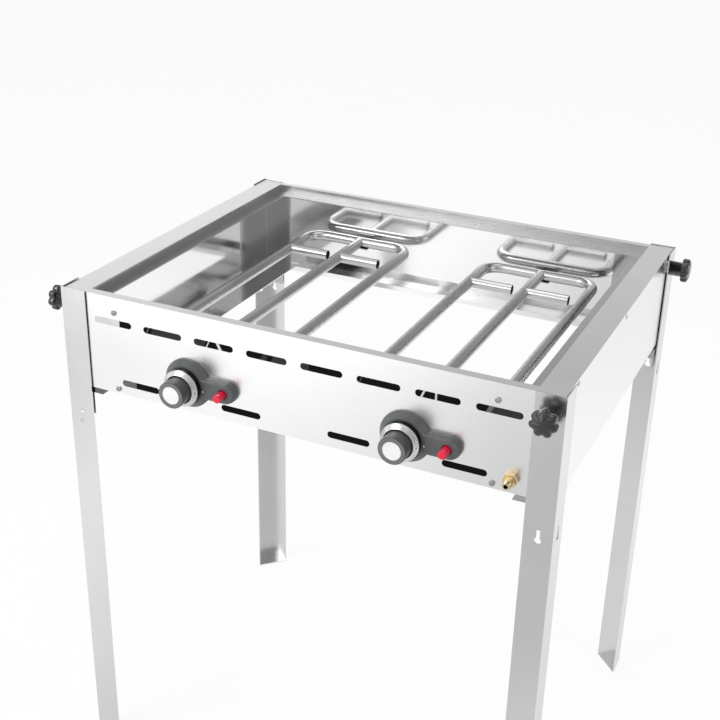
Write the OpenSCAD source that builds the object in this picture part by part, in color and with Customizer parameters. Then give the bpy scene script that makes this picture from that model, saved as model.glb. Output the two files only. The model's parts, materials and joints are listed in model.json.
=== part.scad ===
// Two-burner gas cooking stand in folded stainless sheet, on four clamped angle legs.
// Millimetres. X to the right, Y to the rear, Z up, floor at Z = 0.

/* [Overall] */
// Width over the outer faces of the legs
stand_w = 684; // [640:1:760]
// Depth over the outer faces of the legs
stand_d = 540; // [500:1:600]
// Height of the legs, floor to their top ends
leg_h = 750; // [600:5:900]

/* [Legs] */
// Width of each flange of the leg angle
leg_flange = 37; // [34:0.5:44]
// Sheet thickness of the legs
leg_t = 1.5; // [1.2:0.1:2.5]
// Height of the pressed seats that hold a leg off the body
leg_gap = 1.5; // [0.8:0.1:3]
// How far the legs stand above the top of the body
leg_rise = 1.5; // [0.5:0.1:4]
// Centre of the keyhole's round end, below the leg's top
keyhole_drop = 192; // [188:1:230]
// Radius of the keyhole's round end
keyhole_r = 4.2; // [3:0.1:6]
// Width of the keyhole's narrow end
keyhole_w = 4.4; // [3:0.1:5.5]
// Height of the keyhole's narrow end above the round centre
keyhole_rise = 14; // [10:0.5:18]
// Thickness of the triangular foot plates
foot_t = 2; // [1.5:0.5:5]

/* [Body] */
// Sheet thickness of the body panels
sheet = 1.2; // [1:0.1:1.6]
// Height of the body panels
body_h = 137.5; // [134:0.5:160]
// Width of the top flange along each side
side_flange = 34; // [30:1:40]
// Depth of the top lip at the front
front_lip = 13; // [10:1:16]
// Depth of the top strip at the rear
rear_strip = 9; // [7:1:12]
// Height of the step down to the pan ledge
rail_drop = 12; // [8:1:16]
// Width of the pan ledge at the sides
side_ledge = 16; // [8:1:20]
// Width of the pan ledge at the rear
rear_ledge = 18; // [10:1:22]
// Width of the pan ledge at the front
front_ledge = 10; // [6:1:16]
// Width of the bottom return along the sides
side_return = 64; // [40:1:66]
// Depth of the bottom return at the front and rear
end_return = 30; // [26:1:34]
// Height of the upturned edge of the rear return
return_lip = 8; // [5:1:12]

/* [Corner brackets] */
// Thickness of the corner brackets
bracket_t = 1.5; // [1.2:0.1:2]
// Length of the wide flange
bracket_wide = 84; // [81:1:90]
// Length of the narrow flange
bracket_narrow = 48; // [44:1:56]
// Width of the tongues that reach down behind the legs
tongue_w = 34; // [31:1:36]
// How far the tongues end below the body
tongue_drop = 41; // [30:1:44]
// How far the sloped heel of the wide flange ends below the body
heel_drop = 9; // [6:1:12]
// Length of the sloped heel where it leaves the body
heel_len = 60; // [56:1:66]
// Length of the sloped heel at its lower edge
heel_low_len = 49; // [44:1:54]
// Length of the narrow flange's heel at its lower edge
narrow_heel = 52; // [48:1:56]

/* [Clamp knobs] */
// Depth of the clamp screws below the leg's top
clamp_drop = 26; // [24:1:34]
// Radius of the clamp screw
clamp_r = 4; // [3:0.5:5]
// Overall radius of the lobed grip
star_r = 17.5; // [17:0.5:20]
// Number of lobes
star_lobes = 7; // [6:1:9]
// Radius of each lobe
lobe_r = 5.2; // [4.2:0.1:5.4]
// Radius of the grip's head between its lobes
star_core_r = 15.2; // [14.2:0.1:15.8]
// Height of the whole knob outside the leg
star_reach = 28; // [24:1:34]
// Height of the lobed part
star_head = 12; // [10:1:16]
// Radius of the knob's neck
star_neck_r = 10.5; // [9:0.5:11]
// Height of the weld nut behind each screw
weld_nut_h = 6.5; // [5:0.5:8]
// Across-corner radius of the weld nut
weld_nut_r = 7.5; // [6.5:0.5:9]
// Running clearance of the screws in their nuts and grips
screw_clear = 0.05; // [0.02:0.01:0.09]
// Radius of the pressed seats
seat_r = 11; // [9:0.5:13]

/* [Front panel pattern] */
// Number of upper slots
top_slots = 8; // [6:2:8]
// Length of the slots
slot_len = 57; // [48:1:62]
// Height of the slots
slot_h = 9; // [6:0.5:11]
// Spacing of the upper slots
slot_pitch = 75.6; // [70:0.2:76]
// Depth of the upper slots below the body's top
slot_drop = 35.5; // [33:0.5:38]
// Number of lower slots
low_slots = 4; // [2:2:4]
// Depth of the lower slots below the body's top
low_slot_drop = 120; // [119:0.5:121]
// Distance of the panel screws from the side of the body
screw_inset = 77; // [74:0.5:79]
// Depth of the upper panel screws below the body's top
screw_drop = 21.5; // [20:0.5:24]
// Height of the lower panel screws above the body's bottom
screw_lift = 7; // [6:0.5:9]

/* [Controls] */
// Distance between the two control knobs, and the two burners
unit_pitch = 303; // [296:1:306]
// Depth of the knob axes below the body's top
knob_drop = 95.5; // [90:0.5:98]
// Radius of the round part of the bezels
bezel_r = 33.5; // [32:0.5:38]
// Thickness of the bezels
bezel_t = 11; // [9:0.5:13]
// Edge rounding of the bezels
bezel_round = 3; // [2:0.5:6]
// Radius of the rounded end of the bezels
bezel_arm_r = 14.5; // [13:0.5:18]
// Distance from the knob axis to the centre of that end
bezel_arm = 57.5; // [56:0.5:60]
// Outer radius of the metal ring round each knob
ring_r = 25; // [23.5:0.5:28]
// Height of the metal ring
ring_h = 14; // [12:0.5:15]
// Radius of the control knobs
knob_r = 18; // [16:0.5:20]
// How far the knobs stand out from the panel
knob_reach = 43; // [41:0.5:52]
// Gap between a knob and its ring
knob_gap = 1; // [0.6:0.1:2]
// Radius of the disc let into the knob's face
dial_r = 12; // [10:0.5:14]
// Travel of a knob when it is pushed in
push_travel = 3; // [2:0.5:4]
// Distance from a knob's axis to its ignition button
button_off = 56; // [52:0.5:56]
// Radius of the ignition buttons
button_r = 5.5; // [4.5:0.25:6.5]
// How far the buttons stand out of the bezel
button_out = 15; // [8:0.5:16]
// Travel of the buttons
button_travel = 6; // [4:0.5:7]
// Running clearance of the buttons and the spindles
slide_clear = 0.05; // [0.02:0.01:0.09]

/* [Burners] */
// Radius of the burner tubes
tube_r = 8; // [7:0.5:9]
// Wall of the burner tubes
tube_t = 1; // [0.8:0.1:1.5]
// Depth of the burner tubes' axes below the body's top
burner_drop = 68.5; // [66:0.5:71]
// Distance of the outer arms from the middle tube
arm_off = 86; // [80:1:90]
// Distance of the arms' front ends from the front panel's face
arm_start = 11; // [8:1:14]
// Distance of the back bar's axis from the rear panel's face
bar_inset = 23; // [20:1:40]
// Bend radius of the burner's rear corners, on the tube's axis
bend_r = 28; // [20:1:40]
// Distance of the cross-lighting tubes from the back bar
cross_off = 79; // [60:1:90]
// Length of the cross-lighting tubes from the tube that they leave
cross_len = 67; // [50:1:68]
// Outer radius of the cross-lighting stubs
cross_r = 7.6; // [6:0.1:7.6]
// Radius of the flame ports
port_r = 0.9; // [0.6:0.1:1.2]
// Spacing of the flame ports
port_pitch = 18; // [15:1:24]
// Number of ports along each arm
port_count = 17; // [8:1:18]

/* [Gas line] */
// Distance of the gas inlet from the middle of the stand
inlet_x = 285; // [280:1:290]
// Depth of the gas inlet below the body's top
inlet_drop = 118.5; // [117:0.5:119]
// Outer radius of the gas pipe
pipe_r = 7; // [6:0.5:8]
// Wall of the gas pipe
pipe_t = 1; // [0.8:0.1:1.5]
// Across-corner radius of the brass nut
inlet_nut_r = 10; // [9.8:0.1:12]
// Height of the brass nut
inlet_nut_h = 6; // [5:0.5:9]
// Radius of the threaded part of the inlet
inlet_r = 7.5; // [7:0.25:8]
// Largest radius of the hose nozzle's barbs
barb_r = 5.2; // [4:0.1:6]
// Length of the hose nozzle
nozzle_len = 13; // [12:1:30]
// Radius of the nozzle's bore
nozzle_bore_r = 2.8; // [2:0.1:3.2]

/* [Hidden] */

// Overrun of every cut
over = 1;
// Clearance round notches and loose-fitting plates
notch_clear = 0.3;
// Clearance of fixed pins and tubes in their holes
fit_clear = 0.1;
// Clearance of the clamp screws in the sheets that they pass through
clamp_ease = 0.4;

// Body edges and levels, measured from the middle of the legs
body_x = stand_w/2 - leg_t - leg_gap;
body_y = stand_d/2 - leg_t - leg_gap;
top_z = leg_h - leg_rise;
bot_z = top_z - body_h;
in_x = body_x - side_flange;
lip_y = -body_y + front_lip;
strip_y = body_y - rear_strip;
ledge_z = top_z - rail_drop;
knob_z = top_z - knob_drop;
burner_z = top_z - burner_drop;
inlet_z = top_z - inlet_drop;
clamp_z = leg_h - clamp_drop;
unit_x = unit_pitch/2;
face_y = -body_y;
// The origin is the middle of the whole stand, knobs included
shift_y = (body_y + knob_reach - stand_d/2 - star_reach)/2;

// Small pieces' own sizes
screw_r = 2;
screw_head_r = 3.9;
screw_head_h = 2.4;
screw_cross_w = 0.9;
screw_cross_l = 4.4;
screw_cross_d = 1.3;
screw_nut_r = 4;
screw_nut_h = 3.2;
screw_end = 1.2;
rivet_r = 1.6;
rivet_head_r = 3.2;
rivet_head_h = 1;
rivet_drop = 6;
rivet_first = 52;

nose_r = 7.2;
nose_out = 4;
valve_r = 12;
valve_len = 46;
valve_port_r = 5.5;
stem_r = 3;
spindle_r = 5;
spindle_len = 30;
spindle_start = 4;
stem_grip = 22;
knob_round = 1.6;
knob_edge = 0.9;
bezel_foot = 2.5;
bezel_taper = 6.5;
arm_step_h = 5;
arm_step = 0.9;
ring_step = 0.6;
ring_slope = 4.8;
ring_rim = 0.8;
dial_t = 1;
dial_sink = 0.4;
button_in = 14;
igniter_r = 8.6;
igniter_len = 46;
igniter_mouth = 4;
igniter_mouth_r = 6.7;
injector_r = 4;
injector_tip_r = 2.6;
injector_len = 12;
injector_tip = 6;
injector_bore_r = 0.6;
outlet_w = 14;
outlet_l = 14;

mouth_r = 11.5;
mouth_len = 26;
mouth_cone = 18;
mouth_plate = 1.5;
mouth_lap = 4;
air_w = 9;
air_l = 12;
air_start = 6;
port_first = 62;

rest_half = 11;
rest_rise = 6;
rest_foot = 12;
rest_back = 17;
rest_screw_off = 40;
clip_half = 15;
clip_rise = 6;

electrode_off = 12;
electrode_start = 62;
electrode_r = 3;
electrode_len = 32;
electrode_pin_r = 1;
electrode_pin = 13;
collar_t = 2;
collar_len = 9;
collar_lead = 8;
lead_r = 1.5;
lead_sides = 8;
lead_steps = 3;

elbow_half = 10;
elbow_back = 27;
elbow_deep = 22;
shoulder_r = 9.5;
nozzle_hex_r = 7.4;
nozzle_hex_l = 3;
barb_core_r = 4.4;
barb_count = 2;
barb_pitch = 3.3;
thread_out = 1.5;
clamp_air = 0.1;
grip_wall = 6;

pipe_y = face_y + elbow_back;
valve_front = face_y - nose_out;
valve_back = face_y + sheet + valve_len;
ring_back = face_y - bezel_t;
knob_front = face_y - knob_reach;
knob_back = ring_back - push_travel - knob_gap;
arm_y0 = face_y + arm_start;
bar_y = body_y - bar_inset;
cross_y = bar_y - cross_off;
mouth_y = valve_back + injector_len - mouth_lap;
return_z = bot_z + sheet;
screw_nest = sheet + bracket_t + weld_nut_h;
rivet_places = [rivet_first, body_y, body_y*2 - rivet_first];

// Route of an ignition lead: to the right of the knob axis, behind the panel's face, above the body's top
lead_route = [
    [button_off, igniter_len - bezel_t, -knob_drop],
    [button_off, 41, -knob_drop],
    [button_off + 1, 47, 4 - knob_drop],
    [63, 52, -82],
    [70, 56, -73],
    [74, 59, -69],
    [arm_off - electrode_off, electrode_start, -burner_drop]
];

module box(x0, x1, y0, y1, z0, z1)
    translate([x0, y0, z0])
        cube([x1 - x0, y1 - y0, z1 - z0]);

module rod_x(y, z, x0, x1, r)
    translate([x0, y, z])
        rotate([0, 90, 0])
            cylinder(h = x1 - x0, r = r);

module rod_y(x, z, y0, y1, r)
    translate([x, y0, z])
        rotate([-90, 0, 0])
            cylinder(h = y1 - y0, r = r);

module rod_z(x, y, z0, z1, r)
    translate([x, y, z0])
        cylinder(h = z1 - z0, r = r);

module hex_x(y, z, x0, x1, r)
    translate([x0, y, z])
        rotate([0, 90, 0])
            cylinder(h = x1 - x0, r = r, $fn = 6);

module hex_y(x, z, y0, y1, r)
    translate([x, y0, z])
        rotate([-90, 0, 0])
            cylinder(h = y1 - y0, r = r, $fn = 6);

module placed()
    translate([0, shift_y, 0])
        children();

// Corners are numbered 0 front left, 1 front right, 2 rear right, 3 rear left
module at_corner(n, x, y)
    placed()
        translate([(n == 0 || n == 3) ? -x : x, n < 2 ? -y : y, 0])
            rotate([0, 0, 90*n])
                children();

module at_unit(side)
    placed()
        translate([side*unit_x, 0, 0])
            children();

// Folded panels

module slot_y(x, z, w, h)
{
    box(x - w/2 + h/2, x + w/2 - h/2, face_y - over, face_y + sheet + over, z - h/2, z + h/2);
    for (s = [-1, 1])
        rod_y(x + s*(w - h)/2, z, face_y - over, face_y + sheet + over, h/2);
}

module front_holes()
{
    for (i = [0 : top_slots - 1])
        slot_y((i - (top_slots - 1)/2)*slot_pitch, top_z - slot_drop, slot_len, slot_h);
    for (i = [0 : low_slots - 1])
        slot_y((i - (low_slots - 1)/2)*slot_pitch*2, top_z - low_slot_drop, slot_len, slot_h);
    for (s = [-1, 1])
    {
        rod_y(s*unit_x, knob_z, face_y - over, face_y + sheet + over, nose_r + fit_clear);
        rod_y(s*unit_x + button_off, knob_z, face_y - over, face_y + sheet + over, igniter_r + fit_clear);
        for (z = [top_z - screw_drop, bot_z + screw_lift])
            rod_y(s*(body_x - screw_inset), z, face_y - over, face_y + sheet + over, screw_r);
    }
    rod_y(inlet_x, inlet_z, face_y - over, face_y + sheet + over, inlet_r + fit_clear);
    rod_y(stand_w/2 - leg_flange/2, clamp_z, face_y - leg_gap - over, face_y + sheet + over,
        clamp_r + clamp_ease);
}

module front_panel()
    color("Gainsboro")
        placed()
            difference()
            {
                union()
                {
                    box(-body_x, body_x, face_y, face_y + sheet, bot_z, top_z);
                    box(-body_x, body_x, face_y, lip_y, top_z - sheet, top_z);
                    box(-in_x, in_x, lip_y - sheet, lip_y, ledge_z - sheet, top_z);
                    box(-in_x, in_x, lip_y - sheet, lip_y + front_ledge, ledge_z - sheet, ledge_z);
                    box(side_return - body_x + notch_clear, body_x - side_return - notch_clear,
                        face_y, face_y + end_return, bot_z, return_z);
                    rod_y(stand_w/2 - leg_flange/2, clamp_z, face_y - leg_gap, face_y, seat_r);
                }
                front_holes();
                for (s = [-1, 1])
                    translate([s*unit_x, 0, 0])
                        for (t = [-1, 1])
                            rod_z(t*rest_screw_off, face_y + rest_back + rest_foot/2, bot_z - over,
                                return_z + over, screw_r);
            }

module rear_panel()
    color("Silver")
        placed()
            difference()
            {
                union()
                {
                    box(-body_x, body_x, body_y - sheet, body_y, bot_z, top_z);
                    box(-body_x, body_x, strip_y, body_y, top_z - sheet, top_z);
                    box(-in_x, in_x, strip_y, strip_y + sheet, ledge_z - sheet, top_z);
                    box(-in_x, in_x, strip_y - rear_ledge, strip_y + sheet, ledge_z - sheet, ledge_z);
                    box(side_return - body_x + notch_clear, body_x - side_return - notch_clear,
                        body_y - end_return, body_y, bot_z, return_z);
                    box(side_return - body_x + notch_clear, body_x - side_return - notch_clear,
                        body_y - end_return, body_y - end_return + sheet, bot_z, bot_z + return_lip);
                    rod_y(leg_flange/2 - stand_w/2, clamp_z, body_y, body_y + leg_gap, seat_r);
                }
                rod_y(leg_flange/2 - stand_w/2, clamp_z, body_y - sheet - over, body_y + leg_gap + over,
                    clamp_r + clamp_ease);
            }

// Right-hand side panel; the left one is its mirror image apart from the clamp hole
module side_sheet(hole_y)
    difference()
    {
        union()
        {
            box(body_x - sheet, body_x, sheet - body_y, body_y - sheet, bot_z, top_z - sheet);
            box(in_x, body_x, lip_y, strip_y, top_z - sheet, top_z);
            box(in_x, in_x + sheet, lip_y, strip_y, ledge_z - sheet, top_z);
            box(in_x - side_ledge, in_x + sheet, lip_y + front_ledge, strip_y - rear_ledge,
                ledge_z - sheet, ledge_z);
            box(body_x - side_return, body_x, sheet + bracket_t + notch_clear - body_y,
                body_y - sheet - bracket_t - notch_clear, bot_z, return_z);
            rod_x(hole_y, clamp_z, body_x, body_x + leg_gap, seat_r);
        }
        for (s = [-1, 1])
            translate([body_x - sheet - bracket_t - notch_clear, s*body_y, 0])
                box(0, bracket_t + notch_clear, -heel_len - notch_clear,
                    heel_len + notch_clear, bot_z - over, return_z + over);
        rod_x(hole_y, clamp_z, body_x - sheet - over, body_x + leg_gap + over, clamp_r + clamp_ease);
        for (y = rivet_places)
            rod_x(y - body_y, top_z - rivet_drop, body_x - sheet - over, body_x + over, rivet_r);
    }

module right_panel()
    color("LightGray")
        placed()
            side_sheet(stand_d/2 - leg_flange/2);

module left_panel()
    color("LightGray")
        placed()
            mirror([1, 0, 0])
                side_sheet(leg_flange/2 - stand_d/2);

// Corner brackets, drawn at the body's corner with the wide flange along X

module bracket(screw_holes = false, ears = false, inlet_hole = false, riveted = false)
    difference()
    {
        union()
        {
            translate([0, sheet + bracket_t, 0])
                rotate([90, 0, 0])
                    linear_extrude(height = bracket_t)
                        polygon([
                            [sheet, top_z - sheet*2], [sheet, bot_z - tongue_drop],
                            [tongue_w, bot_z - tongue_drop], [tongue_w, bot_z - heel_drop],
                            [heel_low_len, bot_z - heel_drop], [heel_len, bot_z],
                            [heel_len, return_z + notch_clear], [bracket_wide, return_z + notch_clear],
                            [bracket_wide, top_z - sheet*2]
                        ]);
            translate([sheet, 0, 0])
                rotate([90, 0, 90])
                    linear_extrude(height = bracket_t)
                        polygon([
                            [sheet, top_z - sheet*2], [sheet, bot_z - tongue_drop],
                            [tongue_w, bot_z - tongue_drop], [tongue_w, bot_z - heel_drop],
                            [narrow_heel, bot_z - heel_drop],
                            [bracket_narrow, bot_z], [bracket_narrow, top_z - sheet*2]
                        ]);
            if (ears)
                for (z = [top_z - screw_drop, bot_z + screw_lift])
                    box(sheet, sheet + bracket_t, bracket_narrow - over, bracket_wide,
                        z - screw_nut_r, z + screw_nut_r);
            hex_x(leg_flange/2 - leg_t - leg_gap, clamp_z, sheet + bracket_t,
                sheet + bracket_t + weld_nut_h, weld_nut_r);
        }
        rod_x(leg_flange/2 - leg_t - leg_gap, clamp_z, -over, sheet + bracket_t + weld_nut_h + over,
            clamp_r + screw_clear);
        if (riveted)
            rod_y(rivet_first, top_z - rivet_drop, -over, sheet + bracket_t + over, rivet_r);
        if (screw_holes)
            for (z = [top_z - screw_drop, bot_z + screw_lift])
                rod_y(screw_inset, z, -over, sheet + bracket_t + over, screw_r);
        if (ears)
            for (z = [top_z - screw_drop, bot_z + screw_lift])
                rod_x(screw_inset, z, -over, sheet + bracket_t + over, screw_r);
        if (inlet_hole)
            rod_x(body_x - inlet_x, inlet_z, -over, sheet + bracket_t + over, shoulder_r + notch_clear);
    }

module corner_fl() color("DarkGray") at_corner(0, body_x, body_y) bracket(screw_holes = true);
module corner_fr() color("DarkGray") at_corner(1, body_x, body_y)
    bracket(ears = true, inlet_hole = true, riveted = true);
module corner_br() color("DarkGray") at_corner(2, body_x, body_y) bracket();
module corner_bl() color("DarkGray") at_corner(3, body_x, body_y) bracket(riveted = true);

// Legs, drawn at their outer corner

module keyhole_cut()
{
    rod_x(0, leg_h - keyhole_drop, -over, leg_t + over, keyhole_r);
    box(-over, leg_t + over, -keyhole_w/2, keyhole_w/2, leg_h - keyhole_drop,
        leg_h - keyhole_drop + keyhole_rise);
    rod_x(0, leg_h - keyhole_drop + keyhole_rise, -over, leg_t + over, keyhole_w/2);
}

module leg()
    color("LightSteelBlue")
        difference()
        {
            union()
            {
                box(0, leg_flange, 0, leg_t, 0, leg_h);
                box(0, leg_t, 0, leg_flange, 0, leg_h);
                linear_extrude(height = foot_t)
                    polygon([
                        [0, 0], [leg_flange, 0], [leg_flange, leg_t],
                        [leg_t, leg_flange], [0, leg_flange]
                    ]);
            }
            rod_x(leg_flange/2, clamp_z, -over, leg_t + over, clamp_r + clamp_ease);
            translate([0, leg_flange/2, 0])
                keyhole_cut();
            translate([leg_flange/2, leg_t, 0])
                rotate([0, 0, -90])
                    keyhole_cut();
        }

module leg_fl() at_corner(0, stand_w/2, stand_d/2) leg();
module leg_fr() at_corner(1, stand_w/2, stand_d/2) leg();
module leg_br() at_corner(2, stand_w/2, stand_d/2) leg();
module leg_bl() at_corner(3, stand_w/2, stand_d/2) leg();

// Clamp screw; it runs through leg, seat, panel and bracket into the weld nut
module clamp_screw()
    color("Silver")
        rod_x(leg_flange/2, clamp_z, grip_wall - star_reach,
            leg_t + leg_gap + screw_nest + knob_round, clamp_r);

module clamp_screw_fl() at_corner(0, stand_w/2, stand_d/2) clamp_screw();
module clamp_screw_fr() at_corner(1, stand_w/2, stand_d/2) clamp_screw();
module clamp_screw_br() at_corner(2, stand_w/2, stand_d/2) clamp_screw();
module clamp_screw_bl() at_corner(3, stand_w/2, stand_d/2) clamp_screw();

// Lobed grip that turns the clamp screw
module clamp_grip()
    color("Black")
        difference()
        {
            union()
            {
                rod_x(leg_flange/2, clamp_z, star_head/2 - star_reach, -clamp_air, star_neck_r);
                rod_x(leg_flange/2, clamp_z, -star_reach, star_head - star_reach, star_core_r);
                for (i = [0 : star_lobes - 1])
                    rod_x(leg_flange/2 + (star_r - lobe_r)*sin(360/star_lobes*i),
                        clamp_z + (star_r - lobe_r)*cos(360/star_lobes*i),
                        -star_reach, star_head - star_reach, lobe_r);
            }
            rod_x(leg_flange/2, clamp_z, grip_wall - star_reach, over, clamp_r + screw_clear);
        }

module clamp_grip_fl() at_corner(0, stand_w/2, stand_d/2) clamp_grip();
module clamp_grip_fr() at_corner(1, stand_w/2, stand_d/2) clamp_grip();
module clamp_grip_br() at_corner(2, stand_w/2, stand_d/2) clamp_grip();
module clamp_grip_bl() at_corner(3, stand_w/2, stand_d/2) clamp_grip();

// Controls, drawn with the knob axis at X = 0

// Half profile of a disc of radius r and height h with a rounded upper edge
function rounded_edge(r, h, e) = [for (a = [0 : 15 : 90]) [r - e + e*cos(a), h - e + e*sin(a)]];

// Edge of the bezel's arm, from its foot over a step to its rounded top
function arm_edge() = concat(
    [[bezel_arm_r, arm_step_h], [bezel_arm_r - arm_step, arm_step_h + arm_step]],
    rounded_edge(bezel_arm_r - arm_step, bezel_t, bezel_round)
);

module bezel()
    color("DarkSlateGray")
        difference()
        {
            union()
            {
                translate([0, face_y, knob_z])
                    rotate([90, 0, 0])
                        rotate_extrude()
                            polygon([
                                [0, 0], [bezel_r, 0], [bezel_r, bezel_foot],
                                [bezel_r - bezel_taper, bezel_t], [0, bezel_t]
                            ]);
                translate([bezel_arm, face_y, knob_z])
                    rotate([90, 0, 0])
                        rotate_extrude()
                            polygon(concat([[0, 0], [bezel_arm_r, 0]], arm_edge(), [[0, bezel_t]]));
                translate([0, face_y, knob_z])
                    rotate([90, 0, 90])
                        linear_extrude(height = bezel_arm)
                            polygon(concat(
                                [[0, -bezel_arm_r]],
                                [for (p = arm_edge()) [-p[1], -p[0]]],
                                [for (i = [len(arm_edge()) - 1 : -1 : 0]) [-arm_edge()[i][1], arm_edge()[i][0]]],
                                [[0, bezel_arm_r]]
                            ));
            }
            rod_y(0, knob_z, face_y - bezel_t - over, face_y + over, nose_r + fit_clear);
            rod_y(button_off, knob_z, face_y - bezel_t - over, face_y + over, igniter_r + fit_clear);
        }

module ring()
    color("Gainsboro")
        translate([0, ring_back, knob_z])
            rotate([90, 0, 0])
                rotate_extrude()
                    polygon([
                        [knob_r + knob_gap, 0], [ring_r - ring_step, 0], [ring_r - ring_step, ring_h/2],
                        [ring_r, ring_h/2 + ring_step/2], [ring_r, ring_h - ring_slope],
                        [knob_r + knob_gap + ring_rim, ring_h], [knob_r + knob_gap, ring_h - ring_rim]
                    ]);

module knob()
    color("DimGray")
        union()
        {
            difference()
            {
                translate([0, knob_back, knob_z])
                    rotate([90, 0, 0])
                        rotate_extrude()
                            polygon([
                                [0, 0], [knob_r, 0], [knob_r, knob_back - knob_front - knob_edge],
                                [knob_r - knob_edge, knob_back - knob_front],
                                [0, knob_back - knob_front]
                            ]);
                rod_y(0, knob_z, knob_front - over, knob_front + dial_t + dial_sink, dial_r);
            }
            rod_y(0, knob_z, knob_back - over, knob_back + stem_grip, stem_r);
        }

module dial()
    color("White")
        rod_y(0, knob_z, knob_front + dial_sink, knob_front + dial_t + dial_sink, dial_r);

module spindle()
    color("Goldenrod")
        difference()
        {
            rod_y(0, knob_z, valve_front - spindle_start, valve_front - spindle_start + spindle_len,
                spindle_r);
            rod_y(0, knob_z, valve_front - spindle_start - over, knob_back + stem_grip + fit_clear,
                stem_r + slide_clear);
        }

module button()
    color("Red")
        union()
        {
            rod_y(button_off, knob_z, face_y - bezel_t - button_out + knob_round/2,
                face_y - bezel_t + button_in, button_r);
            rod_y(button_off, knob_z, face_y - bezel_t - button_out,
                face_y - bezel_t - button_out + knob_round/2, button_r - knob_round/2);
        }

module igniter()
    color("Black")
        difference()
        {
            rod_y(button_off, knob_z, face_y - bezel_t, face_y - bezel_t + igniter_len, igniter_r);
            rod_y(button_off, knob_z, face_y - bezel_t - over,
                face_y - bezel_t + button_in + button_travel + fit_clear, button_r + slide_clear);
            rod_y(button_off, knob_z, face_y - bezel_t - over, face_y - bezel_t + igniter_mouth,
                igniter_mouth_r);
        }

module valve()
    color("Goldenrod")
        difference()
        {
            union()
            {
                rod_y(0, knob_z, valve_front, face_y + sheet, nose_r);
                rod_y(0, knob_z, face_y + sheet, valve_back, valve_r);
                rod_z(0, pipe_y, inlet_z, knob_z, valve_port_r);
                box(-outlet_w/2, outlet_w/2, valve_back - outlet_l, valve_back, knob_z,
                    burner_z + outlet_w/2);
            }
            rod_x(pipe_y, inlet_z, -valve_r, valve_r, pipe_r);
            rod_z(0, pipe_y, inlet_z, knob_z - valve_r + over*2, pipe_r - pipe_t*3);
            rod_y(0, knob_z, valve_front - over, valve_front - spindle_start + spindle_len
                + push_travel + fit_clear, spindle_r + slide_clear);
            rod_y(0, burner_z, valve_back - outlet_l/2, valve_back + over, injector_r);
        }

module injector()
    color("Gold")
        difference()
        {
            union()
            {
                rod_y(0, burner_z, valve_back - outlet_l/2, valve_back, injector_r);
                hex_y(0, burner_z, valve_back, valve_back + injector_len - injector_tip,
                    injector_r + pipe_t);
                rod_y(0, burner_z, valve_back + injector_len - injector_tip, valve_back + injector_len,
                    injector_tip_r);
            }
            rod_y(0, burner_z, valve_back - outlet_l/2 - over, valve_back + injector_len - pipe_t,
                injector_tip_r - pipe_t);
            rod_y(0, burner_z, valve_back, valve_back + injector_len + over, injector_bore_r);
        }

// Burners, drawn with the middle tube at X = 0

module u_tube(r, start)
{
    for (s = [-1, 1])
        rod_y(s*arm_off, burner_z, start, bar_y - bend_r, r);
    rod_x(bar_y, burner_z, bend_r - arm_off, arm_off - bend_r, r);
    for (s = [-1, 1])
        translate([s*(arm_off - bend_r), bar_y - bend_r, burner_z])
            rotate([0, 0, s > 0 ? 0 : 90])
                rotate_extrude(angle = 90)
                    translate([bend_r, 0])
                        circle(r = r);
}

module burner()
    color("Silver")
        difference()
        {
            union()
            {
                u_tube(tube_r, arm_y0);
                rod_x(cross_y, burner_z, -arm_off, cross_len - arm_off, cross_r);
            }
            u_tube(tube_r - tube_t, arm_y0 + tube_t);
            rod_x(cross_y, burner_z, -arm_off, cross_len - arm_off + over, cross_r - tube_t);
            rod_y(0, burner_z, bar_y - tube_r - over, bar_y, cross_r - tube_t);
            for (s = [-1, 1])
                for (i = [0 : port_count - 1])
                    rod_x(arm_y0 + port_first + i*port_pitch, burner_z, s*arm_off - tube_r - over,
                        s*arm_off + tube_r + over, port_r);
        }

module mixer()
    color("Silver")
        difference()
        {
            union()
            {
                rod_y(0, burner_z, mouth_y + mouth_len, bar_y, tube_r);
                rod_x(cross_y, burner_z, 0, cross_len, cross_r);
                translate([0, mouth_y, burner_z])
                    rotate([-90, 0, 0])
                        rotate_extrude()
                            polygon([
                                [0, 0], [mouth_r, 0], [mouth_r, mouth_len],
                                [tube_r, mouth_len + mouth_cone], [0, mouth_len + mouth_cone]
                            ]);
            }
            rod_x(bar_y, burner_z, -arm_off, arm_off, tube_r);
            rod_y(0, burner_z, mouth_y + mouth_len, bar_y, tube_r - tube_t);
            rod_x(cross_y, burner_z, 0, cross_len + over, cross_r - tube_t);
            translate([0, mouth_y, burner_z])
                rotate([-90, 0, 0])
                    rotate_extrude()
                        polygon([
                            [0, mouth_plate], [mouth_r - tube_t, mouth_plate],
                            [mouth_r - tube_t, mouth_len],
                            [tube_r - tube_t, mouth_len + mouth_cone], [0, mouth_len + mouth_cone]
                        ]);
            rod_y(0, burner_z, mouth_y - over, mouth_y + mouth_plate + over, injector_tip_r + fit_clear);
            box(-mouth_r - over, mouth_r + over, mouth_y + air_start, mouth_y + air_start + air_l,
                burner_z - air_w/2, burner_z + air_w/2);
        }

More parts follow.
